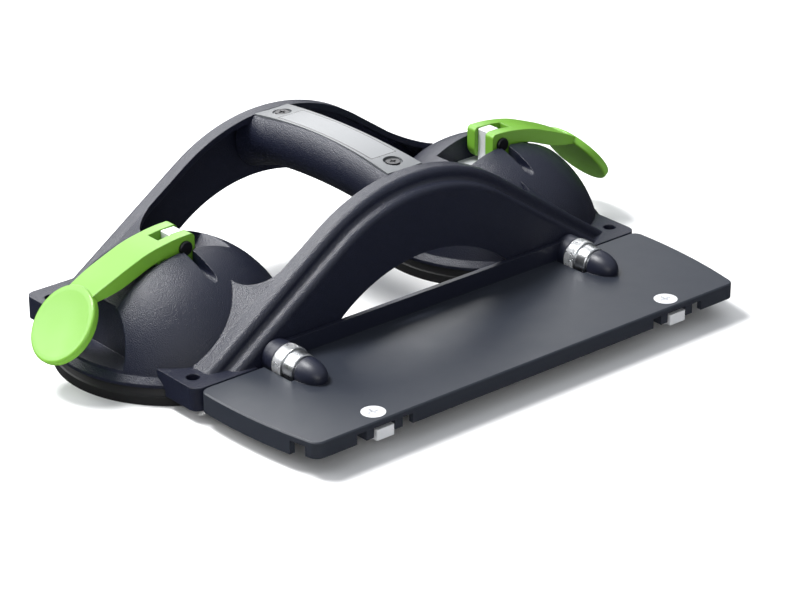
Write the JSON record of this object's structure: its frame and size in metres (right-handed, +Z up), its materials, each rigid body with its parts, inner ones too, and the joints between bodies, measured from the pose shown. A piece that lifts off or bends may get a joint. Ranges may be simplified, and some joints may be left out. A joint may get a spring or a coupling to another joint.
{
  "type": "floor tile suction lifter",
  "caption": "Hand-held suction lifter: two cups with cam levers under an arched frame with a grip, and a screwed-on guide rail adapter plate.",
  "frame": {"origin": "centre of the whole device's footprint, on the surface that the suction cups stand on", "axes": "+X through both cups to the right, +Y to the back (the adapter plate is on the -Y side), +Z up"},
  "size_m": [0.3598, 0.2186, 0.0888],
  "materials": {
    "grained_black_plastic": "fine-grained, semi-matt",
    "satin_black_plastic": "smooth, satin",
    "satin_grey_plastic": "smooth, satin",
    "label_film": "smooth, bare",
    "green_plastic": "smooth, semi-gloss",
    "black_rubber": "matt",
    "black_steel": "blackened",
    "zinc_steel": "zinc-plated",
    "nickel_steel": "nickel-plated, turned",
    "spring_steel": "drawn wire",
    "brass": "turned"
  },
  "bodies": {
    "frame": {"front_arch": "grained_black_plastic", "back_arch": "grained_black_plastic", "grip": "grained_black_plastic", "grip_cover": "satin_grey_plastic", "label_panel": "label_film", "cover_screws": "black_steel", "thread_inserts": "brass", "adapter_plate": "satin_black_plastic", "cup_housing_left": "grained_black_plastic", "suction_pad_left": "black_rubber", "cam_saddle_left": "zinc_steel", "return_spring_left": "spring_steel", "clamp_sleeve_left": "satin_black_plastic", "cup_housing_right": "grained_black_plastic", "suction_pad_right": "black_rubber", "cam_saddle_right": "zinc_steel", "return_spring_right": "spring_steel", "clamp_sleeve_right": "satin_black_plastic"},
    "pull_stud_left": {"pull_stud_left": "zinc_steel", "pad_core_left": "zinc_steel", "lever_pin_left": "black_steel", "pin_clip_left": "black_steel"},
    "cam_lever_left": {"cam_lever_left": "green_plastic"},
    "clamp_wheel_left": {"clamp_wheel_left": "nickel_steel"},
    "clamp_stud_left": {"clamp_stud_left": "zinc_steel"},
    "rail_screw_left": {"rail_screw_left": "nickel_steel"},
    "rail_jaw_left": {"rail_jaw_left": "zinc_steel"},
    "pull_stud_right": {"pull_stud_right": "zinc_steel", "pad_core_right": "zinc_steel", "lever_pin_right": "black_steel", "pin_clip_right": "black_steel"},
    "cam_lever_right": {"cam_lever_right": "green_plastic"},
    "clamp_wheel_right": {"clamp_wheel_right": "nickel_steel"},
    "clamp_stud_right": {"clamp_stud_right": "zinc_steel"},
    "rail_screw_right": {"rail_screw_right": "nickel_steel"},
    "rail_jaw_right": {"rail_jaw_right": "zinc_steel"}
  },
  "joints": [
    {"name": "stud_lift_left", "type": "slide", "parent": "frame", "child": "pull_stud_left", "axis": [0, 0, -1], "range_m": [0, 0.00702], "deforming": ["suction_pad_left", "return_spring_left"]},
    {"name": "lever_turn_left", "type": "hinge", "parent": "pull_stud_left", "child": "cam_lever_left", "pos_m": [-0.1022, 0.0393, 0.058], "axis": [0, 1, 0], "range_deg": [0, 90]},
    {"name": "wheel_turn_left", "type": "hinge", "parent": "frame", "child": "clamp_wheel_left", "pos_m": [-0.0938, -0.0442, 0.02], "axis": [0, -1, 0], "range_deg": [0, 1442]},
    {"name": "stud_draw_left", "type": "slide", "parent": "frame", "child": "clamp_stud_left", "axis": [0, -1, 0], "range_m": [0, 0.004]},
    {"name": "screw_turn_left", "type": "hinge", "parent": "frame", "child": "rail_screw_left", "pos_m": [-0.0939, -0.1005, 0.015], "axis": [0, 0, 1], "range_deg": [0, 1352]},
    {"name": "jaw_drop_left", "type": "slide", "parent": "frame", "child": "rail_jaw_left", "axis": [0, 0, -1], "range_m": [0, 0.003]},
    {"name": "stud_lift_right", "type": "slide", "parent": "frame", "child": "pull_stud_right", "axis": [0, 0, -1], "range_m": [0, 0.00702], "deforming": ["suction_pad_right", "return_spring_right"]},
    {"name": "lever_turn_right", "type": "hinge", "parent": "pull_stud_right", "child": "cam_lever_right", "pos_m": [0.1022, 0.0393, 0.058], "axis": [0, -1, 0], "range_deg": [0, 90]},
    {"name": "wheel_turn_right", "type": "hinge", "parent": "frame", "child": "clamp_wheel_right", "pos_m": [0.0938, -0.0442, 0.02], "axis": [0, -1, 0], "range_deg": [0, 1442]},
    {"name": "stud_draw_right", "type": "slide", "parent": "frame", "child": "clamp_stud_right", "axis": [0, -1, 0], "range_m": [0, 0.004]},
    {"name": "screw_turn_right", "type": "hinge", "parent": "frame", "child": "rail_screw_right", "pos_m": [0.0939, -0.1005, 0.015], "axis": [0, 0, 1], "range_deg": [0, 1352]},
    {"name": "jaw_drop_right", "type": "slide", "parent": "frame", "child": "rail_jaw_right", "axis": [0, 0, -1], "range_m": [0, 0.003]}
  ],
  "couplings": [
    {"joint": "stud_lift_left", "follows": "lever_turn_left", "m_per_rad": 0.0044563},
    {"joint": "wheel_turn_left", "follows": "stud_draw_left", "rad_per_m": 6283.2},
    {"joint": "screw_turn_left", "follows": "jaw_drop_left", "rad_per_m": 7854},
    {"joint": "stud_lift_right", "follows": "lever_turn_right", "m_per_rad": 0.0044563},
    {"joint": "wheel_turn_right", "follows": "stud_draw_right", "rad_per_m": 6283.2},
    {"joint": "screw_turn_right", "follows": "jaw_drop_right", "rad_per_m": 7854}
  ]
}
